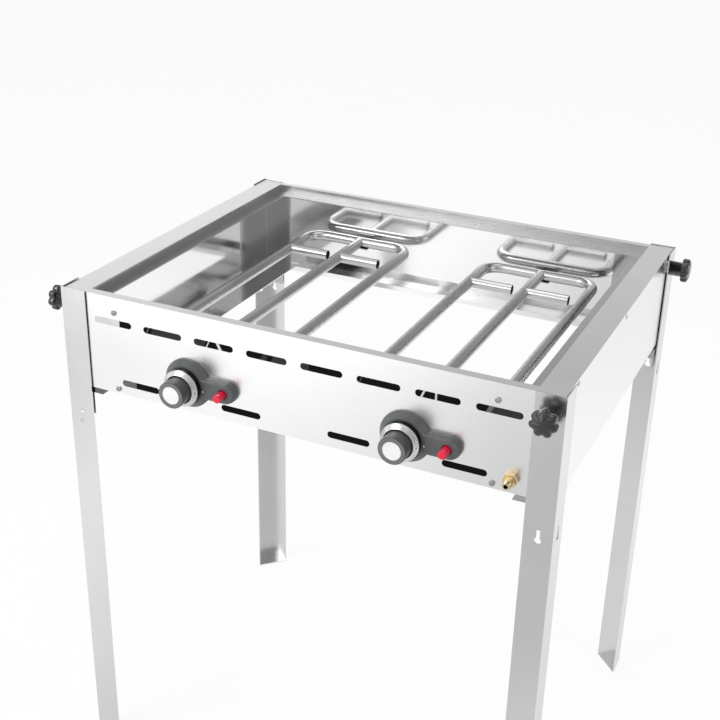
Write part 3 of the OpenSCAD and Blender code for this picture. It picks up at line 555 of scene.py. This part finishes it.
def make_world():
    """A studio in reflections: a backdrop, a grey ceiling, lamps in front, dim to the right.

    The camera sees plain white.
    """
    world = bpy.data.worlds.new("studio")
    scene.world = world
    world.use_nodes = True
    tree = world.node_tree
    tree.nodes.clear()
    split = tree.nodes.new("ShaderNodeSeparateXYZ")
    tree.links.new(tree.nodes.new("ShaderNodeTexCoord").outputs["Generated"], split.inputs[0])
    x, y, z = split.outputs
    backdrop = ramp_between(tree, z, 0.18, 0.50, 1.0, 0.32)
    ceiling = ramp_between(tree, z, 0.66, 0.78, 0.0, 0.36)
    left = ramp_between(tree, x, -0.60, -0.34, 1.45, 1.0)
    right = ramp_between(tree, x, 0.20, 0.55, 1.0, 0.45)
    rear = combine(tree, "MULTIPLY", combine(tree, "ADD", backdrop, ceiling), left, right)
    lamps = ramp_between(tree, z, 0.55, 0.75, 0.95, 0.68)
    from_front = ramp_between(tree, y, -0.15, -0.45, 0.0, 1.0)
    front = combine(tree, "MULTIPLY", lamps, right, from_front)
    back = combine(tree, "MULTIPLY", rear, combine(tree, "SUBTRACT", 1.0, from_front))
    studio = combine(tree, "ADD", front, back)
    dim, white = (tree.nodes.new("ShaderNodeBackground") for _ in range(2))
    for shader in (dim, white):
        shader.inputs["Color"].default_value = (1.0, 1.0, 1.0, 1.0)
    tree.links.new(studio, dim.inputs["Strength"])
    rays = tree.nodes.new("ShaderNodeLightPath")
    blend = mix_shaders(tree, rays.outputs["Is Camera Ray"], dim.outputs[0], white.outputs[0])
    out = tree.nodes.new("ShaderNodeOutputWorld")
    tree.links.new(blend, out.inputs["Surface"])


def soft_light(name, place, target, size, power):
    data = bpy.data.lights.new(name, "AREA")
    data.shape = "RECTANGLE"
    data.size, data.size_y = size
    data.energy = power
    light = bpy.data.objects.new(name, data)
    light.location = place
    aim = Vector(target) - Vector(place)
    light.rotation_euler = aim.to_track_quat("-Z", "Y").to_euler()
    scene.collection.objects.link(light)


def make_lights():
    centre = (0.0, 0.0, 0.65)
    soft_light("key", (-1.6, -2.2, 2.6), centre, (1.6, 1.2), 32)
    soft_light("side", (-0.95, -2.10, 0.50), (0.3, -0.3, 0.72), (1.3, 1.0), 5)
    soft_light("fill", (2.6, -0.6, 1.6), centre, (1.4, 1.6), 12)
    soft_light("top", (0.2, 0.6, 3.0), centre, (2.2, 1.4), 17)


# Small printed marks and details


def new_piece(name, form, material, body, smooth=True):
    mesh = bpy.data.meshes.new(name)
    form.to_mesh(mesh)
    form.free()
    for face in mesh.polygons:
        face.use_smooth = smooth
    piece = bpy.data.objects.new(name, mesh)
    scene.collection.objects.link(piece)
    mesh.materials.append(material)
    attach(piece, body)
    return piece


def flat_finish(name, colour, roughness, **sockets):
    """Paint of a small mark, or painted shade and light for the unlit inside of the slots, slightly
    uneven.
    """
    made = Finish(name, colour, roughness, **sockets)
    cloud = made.noise(240, detail=3)
    made.base(made.mix(made.span(cloud, 0, 1), tuple(0.8 * c for c in colour), colour))
    made.rough(made.span(cloud, roughness - 0.06, roughness + 0.06))
    made.bump(cloud, 0.01 * MM, 0.3)
    return made.material


def slot_width(z):
    """Half the length of a slot at height z from its middle."""
    return SLOT_HALF - SLOT_R + math.sqrt(max(SLOT_R ** 2 - z ** 2, 0.0))


def slot_filling(name, x, z, start, end, lean, depth, finish):
    """A thin plate in a slot of the front panel, from start to end along it, with leaning ends."""
    back = FACE_Y + SHEET - 0.15 * MM
    front = back - depth
    form = bmesh.new()
    made = []
    for row in range(SLOT_ROWS + 1):
        up = (SLOT_R - SLOT_MARGIN) * (2 * row / SLOT_ROWS - 1)
        limit = slot_width(up) - SLOT_MARGIN
        left = max(-limit, min(limit, start + lean * up))
        right = min(limit, max(-limit, end + lean * up))
        spots = [(x + across, y, z + up) for across in (left, right) for y in (front, back)]
        made.append([form.verts.new(spot) for spot in spots])
    for lower, upper in zip(made, made[1:]):
        form.faces.new((lower[0], lower[2], upper[2], upper[0]))
        form.faces.new((lower[3], lower[1], upper[1], upper[3]))
        form.faces.new((lower[1], lower[0], upper[0], upper[1]))
        form.faces.new((lower[2], lower[3], upper[3], upper[2]))
    form.faces.new((made[0][0], made[0][1], made[0][3], made[0][2]))
    form.faces.new((made[-1][0], made[-1][2], made[-1][3], made[-1][1]))
    bmesh.ops.recalc_face_normals(form, faces=form.faces)
    return new_piece(name, form, finish, "frame", smooth=False)


def fill_slots():
    """Behind the slots lies the unlit inside. Thin near-black plates paint it as shade, and patches are
    painted as light where a few parts catch it.
    """
    # Painted shade and light: black for the unlit inside, grey for dim light, pale for light, bright
    # for highlights.
    black = flat_finish("slot_painted_shade", (0.006, 0.006, 0.006), 0.7, Specular_IOR_Level=0.05)
    grey = flat_finish("slot_painted_dim_light", (0.034, 0.034, 0.035), 0.6, Specular_IOR_Level=0.1)
    pale = flat_finish("slot_painted_light", (0.12, 0.12, 0.122), 0.5)
    bright = flat_finish("slot_painted_highlight", (0.72, 0.72, 0.72), 0.4)
    end = SLOT_HALF
    for number in range(8):
        x = SLOT_PITCH * (number - 3.5)
        start = 9.8 * MM if number == 0 else -end
        slot_filling("slot_high_%d" % (number + 1), x, HIGH_SLOT_Z, start, end, 0.0, PLATE_DEPTH, black)
    for number in range(4):
        x = 2 * SLOT_PITCH * (number - 1.5)
        slot_filling("slot_low_%d" % (number + 1), x, LOW_SLOT_Z, -end, end, 0.0, PLATE_DEPTH, black)

    def patch(number, start, stop, finish, lean=0.45, low=False):
        x = 2 * SLOT_PITCH * (number - 2.5) if low else SLOT_PITCH * (number - 4.5)
        z = LOW_SLOT_Z if low else HIGH_SLOT_Z
        name = "slot_glint_%s_%d_%d" % ("low" if low else "high", number, round((start + 40 * MM) / MM))
        slot_filling(name, x, z, start, stop, lean, GLINT_DEPTH, finish)

    patch(1, -end, 9.8 * MM, bright, lean=0.0)
    patch(2, -23 * MM, -21.5 * MM, pale)
    patch(2, -16 * MM, end, grey)
    patch(3, -end, -12 * MM, grey)
    patch(3, -9 * MM, -7.5 * MM, bright)
    patch(3, 5.5 * MM, 10 * MM, bright, lean=-0.5)
    patch(4, -7 * MM, 1 * MM, grey)
    patch(4, 8 * MM, end, grey)
    patch(5, -end, -17 * MM, grey, lean=0.0)
    patch(6, -23.5 * MM, -22.7 * MM, pale)
    patch(7, -20 * MM, -17.5 * MM, bright)
    patch(7, -3.5 * MM, -1 * MM, bright, lean=0.0)
    patch(8, -14.5 * MM, -8.5 * MM, pale)
    patch(8, -8.5 * MM, end, grey)
    patch(1, -end, -7 * MM, pale, lean=0.0, low=True)


def disc(name, place, facing, radius, height, finish, body, steps=20):
    """A small domed disc standing on place and facing along facing."""
    form = bmesh.new()
    turn = Vector((0, 0, 1)).rotation_difference(Vector(facing)).to_matrix()
    rings = []
    for share, lift in ((1.0, 0.0), (0.94, 0.6), (0.75, 0.92)):
        ring = []
        for step in range(steps):
            angle = 2 * math.pi * step / steps
            wide = radius * share
            spot = Vector((wide * math.cos(angle), wide * math.sin(angle), height * lift))
            ring.append(form.verts.new(Vector(place) + turn @ spot))
        rings.append(ring)
    for lower, upper in zip(rings, rings[1:]):
        for step in range(steps):
            after = (step + 1) % steps
            form.faces.new((lower[step], lower[after], upper[after], upper[step]))
    top = form.verts.new(Vector(place) + turn @ Vector((0, 0, height)))
    for step in range(steps):
        form.faces.new((rings[-1][step], rings[-1][(step + 1) % steps], top))
    form.faces.new(list(reversed(rings[0])))
    bmesh.ops.recalc_face_normals(form, faces=form.faces)
    return new_piece(name, form, finish, body)


def mark_units():
    """The white index dot on each bezel and the dark screw point on each ring."""
    white = flat_finish("dot_white", (0.88, 0.88, 0.88), 0.35)
    dark = flat_finish("dot_dark", (0.05, 0.05, 0.05), 0.5)
    for side, x in zip(SIDES, (-UNIT_X, UNIT_X)):
        spot = (x + 27.5 * MM, BEZEL_Y + 0.01 * MM, KNOB_Z - 2.5 * MM)
        name = "index_dot_" + side
        disc(name, spot, (0, -1, 0), 1.25 * MM, 0.15 * MM, white, "frame")
        point = (x + 22.6 * MM, BEZEL_Y - 11.4 * MM, KNOB_Z - 0.5 * MM)
        name = "ring_point_" + side
        disc(name, point, (0.68, -0.73, 0), 0.9 * MM, 0.12 * MM, dark, "frame")


def grip_outline(angle):
    """Radius of a grip's head: rounded lobes with hollows between them."""
    lobe = math.cos(GRIP_LOBES * angle)
    return (15.85 + 1.65 * lobe - 0.30 * math.cos(2 * GRIP_LOBES * angle)) * MM


def grip(corner, place, outwards):
    """Domed grip with rounded lobes, in place of the plain prism of the CAD."""
    out = Vector(outwards)
    up = Vector((0, 0, 1))
    side = out.cross(up)
    round_part = ((GRIP_NECK, 0.15), (GRIP_NECK, 15.8))
    lobed_part = (
        (0.80, 15.9), (0.93, 16.1), (0.985, 17.0), (1.0, 18.4), (1.0, 22.6), (0.985, 23.9),
        (0.945, 24.9), (0.88, 25.6), (0.76, 26.3), (0.60, 27.0), (0.42, 27.5), (0.22, 27.8),
    )
    form = bmesh.new()
    rings = []
    for row in range(len(round_part) + len(lobed_part)):
        ring = []
        for step in range(GRIP_STEPS):
            angle = 2 * math.pi * step / GRIP_STEPS
            if row < len(round_part):
                radius, far = round_part[row]
            else:
                share, far = lobed_part[row - len(round_part)]
                radius = share * grip_outline(angle)
            around = up * math.cos(angle) + side * math.sin(angle)
            ring.append(form.verts.new(Vector(place) + out * far * MM + around * radius))
        rings.append(ring)
    for lower, upper in zip(rings, rings[1:]):
        for step in range(GRIP_STEPS):
            after = (step + 1) % GRIP_STEPS
            form.faces.new((lower[step], lower[after], upper[after], upper[step]))
    tip = form.verts.new(Vector(place) + out * GRIP_TIP)
    for step in range(GRIP_STEPS):
        form.faces.new((rings[-1][step], rings[-1][(step + 1) % GRIP_STEPS], tip))
    form.faces.new(list(reversed(rings[0])))
    bmesh.ops.recalc_face_normals(form, faces=form.faces)
    node = "clamp_grip_" + corner
    piece = new_piece("grip_" + corner, form, finishes["grip_plastic"], node)
    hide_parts(node)


def make_grips():
    low, high = MIDDLE_Y - CORNER_Y, MIDDLE_Y + CORNER_Y
    grip("fl", (-CORNER_X, low + CLAMP_INSET, CLAMP_Z), (-1, 0, 0))
    grip("fr", (CORNER_X - CLAMP_INSET, low, CLAMP_Z), (0, -1, 0))
    grip("br", (CORNER_X, high - CLAMP_INSET, CLAMP_Z), (1, 0, 0))
    grip("bl", (CLAMP_INSET - CORNER_X, high, CLAMP_Z), (0, 1, 0))


def finish_scene():
    scene.view_settings.view_transform = "Standard"


make_camera()
finishes = make_finishes()
dress(finishes)
soften_all()
fill_slots()
mark_units()
make_grips()
make_floor()
make_world()
make_lights()
finish_scene()
